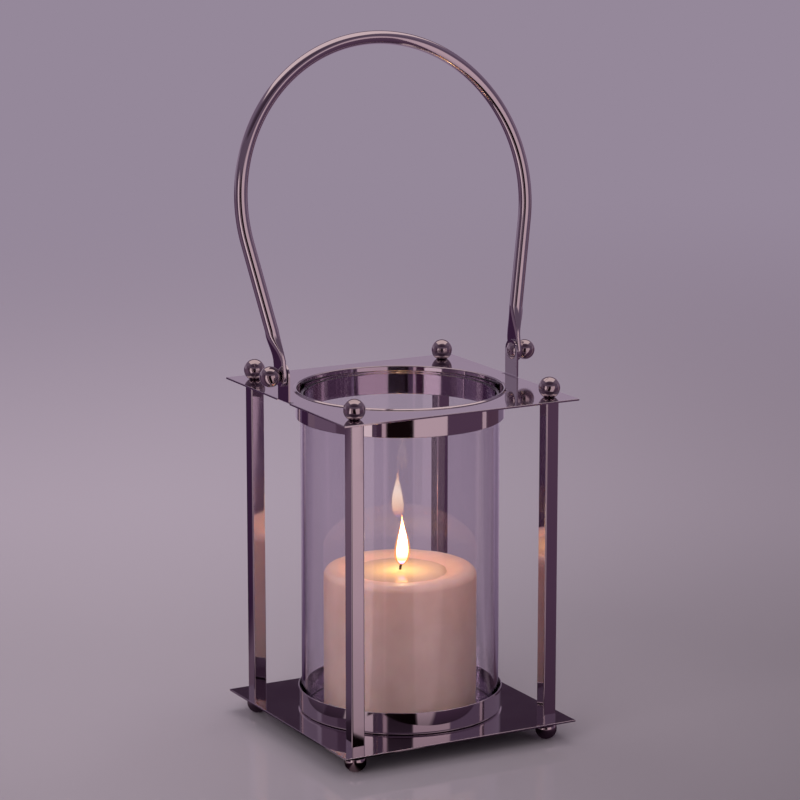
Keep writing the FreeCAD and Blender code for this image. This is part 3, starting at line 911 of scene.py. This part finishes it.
def make_wick(pool_level):
    """The braided wick: three strands laid round a core that leans and curls over at its tip."""
    low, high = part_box("candle_wick")
    material = charred_wick(pool_level, high.z)
    tree, inputs = new_shape_tree(
        "braided wick", {"Strand radius": WICK_RADIUS * 0.55, "Lay radius": WICK_RADIUS * 0.42, "Turns": 7.0}
    )
    span = high.z - pool_level + WICK_ROOT
    strands = add_node(tree, "GeometryNodeJoinGeometry")
    for k in range(3):
        spiral = add_node(
            tree,
            "GeometryNodeCurveSpiral",
            {"Resolution": 20, "Height": span},
            {
                "Rotations": inputs["Turns"],
                "Start Radius": inputs["Lay radius"],
                "End Radius": inputs["Lay radius"],
            },
        )
        turned = add_node(
            tree,
            "GeometryNodeTransform",
            {"Rotation": (0, 0, math.radians(120 * k))},
            {"Geometry": spiral.outputs["Curve"]},
        )
        tree.links.new(turned.outputs["Geometry"], strands.inputs[0])
    circle = add_node(
        tree, "GeometryNodeCurvePrimitiveCircle", {"Resolution": 10}, {"Radius": inputs["Strand radius"]}
    )
    cord = add_node(
        tree,
        "GeometryNodeCurveToMesh",
        {"Fill Caps": True},
        {"Curve": strands.outputs["Geometry"], "Profile Curve": circle.outputs["Curve"]},
    )
    finish_tree(tree, cord.outputs["Mesh"], material)
    wick = run_tree("candle_wick_braided", tree, material)
    for vertex in wick.data.vertices:
        share = max(0, vertex.co.z / span)
        vertex.co.x += WICK_LEAN * share**2.2
        vertex.co.z += pool_level - WICK_ROOT - WICK_DROOP * share**3
    settle(wick, 80)
    ride_and_replace(wick, "candle", "wick_cotton", "candle_wick")


FLAME_HEIGHT = 34 * MM
FLAME_RADIUS = 3.8 * MM
FLAME_STAND = 4 * MM
FLAME_ROWS = 32
FLAME_BELLY = 0.55
FLAME_TAPER = 1.7
FLAME_WIDEST = 0.286  # what the belly and taper give at the widest place
FLAME_LEAN = 1.2 * MM
FLAME_SWAY = 0.7 * MM
VEIL_SWELL = 1.4
VEIL_DROP = 0.6 * MM


def make_flame(pool_level):
    """The flame: a slender drop that stands on the wick, in a thin orange veil."""
    foot = pool_level + FLAME_STAND
    tip = foot + FLAME_HEIGHT
    for name, material, swell, drop in (
        ("candle_flame", flame_light(foot, tip), 1, 0),
        ("candle_flame_veil", flame_veil(foot, tip), VEIL_SWELL, VEIL_DROP),
    ):
        height = FLAME_HEIGHT * (0.9 + 0.1 * swell)
        profile = []
        for k in range(FLAME_ROWS + 1):
            share = (1 - math.cos(math.pi * k / FLAME_ROWS)) / 2
            half = share**FLAME_BELLY * (1 - share) ** FLAME_TAPER / FLAME_WIDEST
            profile.append((FLAME_RADIUS * swell * half, height * share))
        flame = turned_solid(name, profile, material, 40, 80)
        for vertex in flame.data.vertices:
            share = vertex.co.z / FLAME_HEIGHT
            vertex.co.x += FLAME_LEAN + FLAME_SWAY * math.sin(share * 3)
            vertex.co.z += foot - drop
        flame.visible_shadow = False
        flame.visible_diffuse = False
        ride_and_replace(flame, "candle", None)
    return foot


# ---------------------------------------------------------------- stage, light and camera

VIEW_AZIMUTH = -28.5
VIEW_ELEVATION = 14.8
VIEW_DISTANCE = 2.1
AIM_BELOW_MIDDLE = 8 * MM
VIEW_HALF_HEIGHT = 0.258


def direction(azimuth, elevation):
    """A unit vector, from degrees round from the lantern's front and degrees up."""
    a, e = math.radians(azimuth), math.radians(elevation)
    return Vector((math.sin(a) * math.cos(e), -math.cos(a) * math.cos(e), math.sin(e)))


# The right-hand panel on the table ends in a straight edge, so that it fills the nearest post's face and no
# other's: the way across the edge, how far out it lies, and the way that tells the front of the table.
EDGE_WAY = (0.894, 0.449, 0)
EDGE_FROM, EDGE_TO = -68 * MM, -59 * MM
FRONT_WAY = (-0.559, -0.829, 0)
# Painted shade: the table's colour darkens to the right and towards the front, where the light falls off: way,
# start, end and what is left.
PAINTED_LIGHT_FALLOFF = (((0.879, -0.477, 0), -0.25, 0.5, 0.54), ((-0.477, -0.879, 0), -0.1, 0.35, 0.74))
TABLE_HALF = 12
HAZE_FROM, HAZE_TO = 0.6, 2.5


def panels_on_table(tree, place, reach):
    """The tone of the studio's panels, lying down: darkened under the lantern by painted shade, and cut off at
    the straight edge.
    """
    # Painted shade: the panels go dark close under the lantern.
    painted_shade_near = add_node(
        tree,
        "ShaderNodeValToRGB",
        {"stops": [(0.09, "#3a363a"), (0.16, "#d0ccd0"), (0.45, "#f0ecf0"), (1, "#ffffff")]},
        {"Fac": reach},
    )
    outside = add_node(tree, "ShaderNodeVectorMath", {"operation": "DOT_PRODUCT", 1: EDGE_WAY}, {0: place})
    past = add_node(
        tree,
        "ShaderNodeMapRange",
        {"From Min": EDGE_FROM, "From Max": EDGE_TO},
        {"Value": outside.outputs["Value"]},
    )
    side = add_node(tree, "ShaderNodeVectorMath", {"operation": "DOT_PRODUCT", 1: FRONT_WAY}, {0: place})
    front = add_node(tree, "ShaderNodeMath", {"operation": "GREATER_THAN", 1: 0}, {0: side.outputs["Value"]})
    dark = add_node(
        tree, "ShaderNodeMath", {"operation": "MULTIPLY"}, {0: past.outputs["Result"], 1: front.outputs[0]}
    )
    panels = add_node(
        tree,
        "ShaderNodeMix",
        {"data_type": "RGBA", 7: linear("#5c445a")},
        {0: dark.outputs[0], 6: panels_round(tree, place, TABLE_PANELS)},
    )
    return add_node(
        tree,
        "ShaderNodeMix",
        {"data_type": "RGBA", "blend_type": "MULTIPLY", "Factor": 1},
        {6: panels.outputs[2], 7: painted_shade_near.outputs["Color"]},
    ).outputs[2]


def make_floor():
    """A plain pale table top with a soft sheen, its colour darkened to the right and towards the front by
    painted shade. Polished metal sees it as the studio's panels, lying down, with painted shade under the
    lantern.
    """
    material, tree, shader = new_material("pale lacquered table top", {"Roughness": 0.07, "IOR": 1.55})
    place = add_node(tree, "ShaderNodeTexCoord").outputs["Object"]
    reach = add_node(tree, "ShaderNodeVectorMath", {"operation": "LENGTH"}, {0: place}).outputs["Value"]
    mirrored = add_node(tree, "ShaderNodeEmission", (), {"Color": panels_on_table(tree, place, reach)})
    # Away from the lantern the table melts into the pale room.
    away = add_node(
        tree,
        "ShaderNodeMapRange",
        {"interpolation_type": "SMOOTHSTEP", "From Min": HAZE_FROM, "From Max": HAZE_TO},
        {"Value": reach},
    )
    haze = add_node(tree, "ShaderNodeEmission", {"Color": linear("#95889a")})
    table = add_node(
        tree, "ShaderNodeMixShader", (), {0: away.outputs["Result"], 1: shader.outputs[0], 2: haze.outputs[0]}
    )
    mix = add_node(
        tree,
        "ShaderNodeMixShader",
        (),
        {0: seen_in_a_mirror(tree), 1: table.outputs[0], 2: mirrored.outputs[0]},
    )
    tree.links.new(mix.outputs[0], tree.nodes["Material Output"].inputs["Surface"])

    # Painted shade: the base colour is darkened to the right and towards the front, where the light falls off.
    falls = []
    for way, start, end, least in PAINTED_LIGHT_FALLOFF:
        along = add_node(tree, "ShaderNodeVectorMath", {"operation": "DOT_PRODUCT", 1: way}, {0: place})
        fall = add_node(
            tree,
            "ShaderNodeMapRange",
            {
                "interpolation_type": "SMOOTHSTEP",
                "From Min": start,
                "From Max": end,
                "To Min": 1,
                "To Max": least,
            },
            {"Value": along.outputs["Value"]},
        )
        falls.append(fall.outputs["Result"])
    shade = add_node(tree, "ShaderNodeMath", {"operation": "MULTIPLY"}, {0: falls[0], 1: falls[1]})
    paint = add_node(
        tree,
        "ShaderNodeVectorMath",
        {"operation": "SCALE", 0: linear("#d6d0d8")[:3]},
        {"Scale": shade.outputs[0]},
    )
    tree.links.new(paint.outputs[0], shader.inputs["Base Color"])
    half = TABLE_HALF
    corners = [(-half, -half, 0), (half, -half, 0), (half, half, 0), (-half, half, 0)]
    mesh_object("table_top", corners, [(0, 1, 2, 3)], material)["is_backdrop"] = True


# The studio's panels on the table and up the walls: where each begins, in degrees to the right of the camera,
# and its tone.
TABLE_PANELS = (
    (-180, "#aa98ac"),
    (-152, "#6a5470"),
    (-135, "#3e2642"),
    (-118, "#796274"),
    (-105, "#725c72"),
    (-72, "#5a4458"),
    (-50, "#f6dfe4"),
    (-28.8, "#43293a"),
    (-19, "#c4a7b1"),
    (-14.5, "#140a0c"),
    (14.5, "#d4bac2"),
    (58, "#5c445a"),
    (103, "#b89eaa"),
    (108, "#5a4153"),
    (135, "#7f6c84"),
    (157, "#aa98ac"),
)
WALL_PANELS = (
    (-180, "#a997ab"),
    (-140, "#97879a"),
    (-100, "#6a566a"),
    (-75, "#513c50"),
    (-50, "#ecd4da"),
    (-29.5, "#43293a"),
    (-19, "#c4a7b1"),
    (-14.5, "#21141c"),
    (14.5, "#d4bac2"),
    (58, "#6d5a70"),
    (103, "#b89eaa"),
    (108, "#7f6c82"),
    (145, "#a997ab"),
)
PANEL_EDGE = 0.7


def in_studio(tree, way):
    """A direction as the studio has it, whose front faces the lantern's left front corner."""
    return add_node(
        tree,
        "ShaderNodeVectorRotate",
        {"rotation_type": "Z_AXIS", "Angle": math.radians(-VIEW_AZIMUTH)},
        {"Vector": way},
    ).outputs["Vector"]


def panels_round(tree, way, panels):
    """The panels' tone in the direction of way, from straight behind the lantern round by the left."""
    parts = add_node(tree, "ShaderNodeSeparateXYZ", (), {0: in_studio(tree, way)})
    ahead = add_node(tree, "ShaderNodeMath", {"operation": "MULTIPLY", 1: -1}, {0: parts.outputs["Y"]})
    around = add_node(
        tree, "ShaderNodeMath", {"operation": "ARCTAN2"}, {0: parts.outputs["X"], 1: ahead.outputs[0]}
    )
    turn = add_node(
        tree, "ShaderNodeMapRange", {"From Min": -math.pi, "From Max": math.pi}, {"Value": around.outputs[0]}
    )
    stops = [(0, panels[0][1])]
    for (_, before), (edge, after) in zip(panels, panels[1:]):
        stops.append(((edge - PANEL_EDGE + 180) / 360, before))
        stops.append(((edge + PANEL_EDGE + 180) / 360, after))
    half = len(stops) // 2
    first, second = (
        add_node(tree, "ShaderNodeValToRGB", {"stops": part}, {"Fac": turn.outputs["Result"]})
        for part in (stops[:half], stops[half:])
    )
    switch = add_node(
        tree,
        "ShaderNodeMath",
        {"operation": "GREATER_THAN", 1: (stops[half - 1][0] + stops[half][0]) / 2},
        {0: turn.outputs["Result"]},
    )
    return add_node(
        tree,
        "ShaderNodeMix",
        {"data_type": "RGBA"},
        {0: switch.outputs[0], 6: first.outputs["Color"], 7: second.outputs["Color"]},
    ).outputs[2]


def seen_in_a_mirror(tree):
    """One for a ray that a polished surface has turned on its way, even if glass came after."""
    ray = add_node(tree, "ShaderNodeLightPath").outputs
    turned = add_node(tree, "ShaderNodeMath", {"operation": "GREATER_THAN", 1: 0.5}, {0: ray["Glossy Depth"]})
    return add_node(
        tree,
        "ShaderNodeMath",
        {"operation": "SUBTRACT", "use_clamp": True},
        {0: turned.outputs[0], 1: ray["Is Diffuse Ray"]},
    ).outputs[0]


PANEL_TOP = math.sin(math.radians(38))
PANEL_FADE_LOW = math.sin(math.radians(17))
PANEL_FADE_HIGH = math.sin(math.radians(23))
PAPER_TOP = math.sin(math.radians(15))


def studio_walls(tree, way):
    """The tone of the studio's walls: the standing panels, and the dimmer room above them."""
    height = add_node(tree, "ShaderNodeSeparateXYZ", (), {0: way}).outputs["Z"]
    ahead = add_node(tree, "ShaderNodeSeparateXYZ", (), {0: in_studio(tree, way)}).outputs["Y"]
    # The paper behind the lantern stands low and the panels in front of it stand high.
    top_edge = add_node(
        tree,
        "ShaderNodeMapRange",
        {"From Min": -0.2, "From Max": 0.35, "To Min": PANEL_TOP, "To Max": PAPER_TOP},
        {"Value": ahead},
    ).outputs["Result"]
    above = add_node(tree, "ShaderNodeMath", {"operation": "SUBTRACT"}, {0: height, 1: top_edge})
    standing = add_node(
        tree,
        "ShaderNodeMapRange",
        {"From Min": -0.015, "From Max": 0.025, "To Min": 1, "To Max": 0},
        {"Value": above.outputs[0]},
    )
    # Above them the room is dim behind the camera and straight behind the lantern, and paler at the sides.
    share = add_node(tree, "ShaderNodeMapRange", {"From Min": -1}, {"Value": ahead})
    upper = add_node(
        tree,
        "ShaderNodeValToRGB",
        {"stops": [(0, "#33242f"), (0.25, "#4a3a4a"), (0.5, "#7d6c80"), (0.91, "#7d6c80"), (0.965, "#3c2c3c")]},
        {"Fac": share.outputs["Result"]},
    )
    # The panels' upper ends melt into one soft grey, so that the plates stay pale from behind.
    rising = add_node(
        tree, "ShaderNodeMapRange", {"From Min": PANEL_FADE_LOW, "From Max": PANEL_FADE_HIGH}, {"Value": height}
    )
    panels = add_node(
        tree,
        "ShaderNodeMix",
        {"data_type": "RGBA", 7: linear("#685769")},
        {0: rising.outputs["Result"], 6: panels_round(tree, way, WALL_PANELS)},
    )
    return add_node(
        tree,
        "ShaderNodeMix",
        {"data_type": "RGBA"},
        {0: standing.outputs["Result"], 6: upper.outputs["Color"], 7: panels.outputs[2]},
    ).outputs[2]


OVERHEAD_TILT = 19
OVERHEAD_SPAN = {"X": 0.75, "Y": 0.6}  # half its width and half its depth, at a height of one
OVERHEAD_EDGE = 0.04


def overhead_panel(tree, way):
    """One in the directions of the rectangular softbox overhead."""
    tilted = add_node(
        tree,
        "ShaderNodeVectorRotate",
        {"rotation_type": "X_AXIS", "Angle": math.radians(OVERHEAD_TILT)},
        {"Vector": in_studio(tree, way)},
    ).outputs["Vector"]
    box = add_node(tree, "ShaderNodeSeparateXYZ", (), {0: tilted}).outputs
    inside = add_node(tree, "ShaderNodeMath", {"operation": "GREATER_THAN", 1: 0}, {0: box["Z"]}).outputs[0]
    for axis, half in OVERHEAD_SPAN.items():
        out = add_node(tree, "ShaderNodeMath", {"operation": "DIVIDE"}, {0: box[axis], 1: box["Z"]})
        either_way = add_node(tree, "ShaderNodeMath", {"operation": "ABSOLUTE"}, {0: out.outputs[0]})
        fall = add_node(
            tree,
            "ShaderNodeMapRange",
            {"From Min": half - OVERHEAD_EDGE, "From Max": half + OVERHEAD_EDGE, "To Min": 1, "To Max": 0},
            {"Value": either_way.outputs[0]},
        )
        inside = add_node(
            tree, "ShaderNodeMath", {"operation": "MULTIPLY"}, {0: inside, 1: fall.outputs["Result"]}
        ).outputs[0]
    return inside


def make_world():
    """A pale room; polished metal sees it as a studio of light panels with dark gaps between them."""
    world = bpy.data.worlds.new("studio")
    bpy.context.scene.world = world
    world.use_nodes = True
    tree = world.node_tree
    tree.nodes.clear()
    way = add_node(tree, "ShaderNodeTexCoord").outputs["Generated"]
    lit = add_node(
        tree,
        "ShaderNodeMix",
        {"data_type": "RGBA", 7: linear("#f2dcdc")},
        {0: overhead_panel(tree, way), 6: studio_walls(tree, way)},
    )
    studio = add_node(tree, "ShaderNodeBackground", (), {"Color": lit.outputs[2]})
    room = add_node(tree, "ShaderNodeBackground", {"Color": linear("#b9afba"), "Strength": 0.62})
    mix = add_node(
        tree, "ShaderNodeMixShader", (), {0: seen_in_a_mirror(tree), 1: room.outputs[0], 2: studio.outputs[0]}
    )
    add_node(tree, "ShaderNodeOutputWorld", (), {"Surface": mix.outputs[0]})


LAMP_AIM = 150 * MM
# The softboxes: degrees to the right of the camera, degrees up, distance, width, height, watts and tone.
SOFTBOXES = {
    "overhead_softbox": (180, 68, 1.5, 1.3, 1.0, 6.5, "#fff4f6"),
    "left_softbox": (-32, 32, 1.7, 1.0, 1.2, 9, "#fff2f6"),
    "right_reflector": (78, 25, 1.7, 1.0, 1.2, 3, "#fff0ec"),
}
FLAME_WATTS = 0.04
FLAME_HEART = 14 * MM


def add_lamp(name, azimuth, elevation, distance, width, height, power, tone):
    """A rectangular softbox that faces the lantern; polished metal sees the studio's panels in its stead."""
    lamp = bpy.data.lights.new(name, "AREA")
    lamp.shape = "RECTANGLE"
    lamp.size = width
    lamp.size_y = height
    lamp.energy = power
    lamp.color = linear(tone)[:3]
    holder = bpy.data.objects.new(name, lamp)
    bpy.context.scene.collection.objects.link(holder)
    target = Vector((0, 0, LAMP_AIM))
    holder.location = target + direction(azimuth, elevation) * distance
    holder.rotation_euler = (target - holder.location).to_track_quat("-Z", "Y").to_euler()
    holder.visible_glossy = False


def make_lights(flame_foot):
    """Soft light from overhead and both sides, and the flame's own warm light."""
    for name, (turn, *rest) in SOFTBOXES.items():
        add_lamp(name, VIEW_AZIMUTH + turn, *rest)
    glow = bpy.data.lights.new("flame_glow", "POINT")
    glow.energy = FLAME_WATTS
    glow.color = linear("#ffb765")[:3]
    glow.shadow_soft_size = 5 * MM
    holder = bpy.data.objects.new("flame_glow", glow)
    bpy.context.scene.collection.objects.link(holder)
    holder.location = (1 * MM, 0, flame_foot + FLAME_HEART)
    holder.visible_glossy = False
    holder.visible_transmission = False


def make_camera():
    """A long lens from the front left, a little above, that takes in the whole lantern."""
    camera = bpy.data.cameras.new("camera")
    camera.sensor_width = 36
    holder = bpy.data.objects.new("camera", camera)
    bpy.context.scene.collection.objects.link(holder)
    bpy.context.scene.camera = holder
    low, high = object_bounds()
    body_middle = Vector((0, 0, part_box("ball_finial_front_left")[1].z / 2))
    holder.location = body_middle + direction(VIEW_AZIMUTH, VIEW_ELEVATION) * VIEW_DISTANCE
    aim = Vector((0, 0, (low.z + high.z) / 2 - AIM_BELOW_MIDDLE))
    holder.rotation_euler = (aim - holder.location).to_track_quat("-Z", "Y").to_euler()
    distance = (aim - holder.location).length
    camera.lens = camera.sensor_width / 2 * distance / VIEW_HALF_HEIGHT
    camera.clip_start, camera.clip_end = 0.05, 60


# ---------------------------------------------------------------- assembly

sheet_steel = polished_steel("mirror-polished sheet", "#cdc5cb", 40 * MM, 0.02 * MM)
bar_steel = polished_steel("buffed steel bar", "#cfc7cd", 25 * MM, 0.012 * MM)
# Painted shade: the balls, knobs and screws get a darker copy of the polished steel, so that their reflections
# come out dimmer.
shaded_ball_steel = polished_steel("turned and buffed steel, painted darker", "#beb3b6", 12 * MM, 0.004 * MM, 0.02, 0.07)

rod_steel = zinc_plate()
kept = {"top_plate": sheet_steel, "bottom_plate": sheet_steel}
for node, finish in {**kept, **{"tie_rod_" + corner: rod_steel for corner in CORNERS}}.items():
    materials = frame["nodes"][node].data.materials
    materials.clear()
    materials.append(finish)

make_posts(bar_steel)
make_balls(shaded_ball_steel)
make_collar(sheet_steel)
make_dish(sheet_steel)
make_knobs_and_screws(shaded_ball_steel)
make_handle(bar_steel)
make_glass(clear_glass())
pool = make_candle()
make_wick(pool)
flame_foot = make_flame(pool)

make_floor()
make_world()
make_lights(flame_foot)
make_camera()
bpy.context.scene.view_settings.view_transform = "Standard"
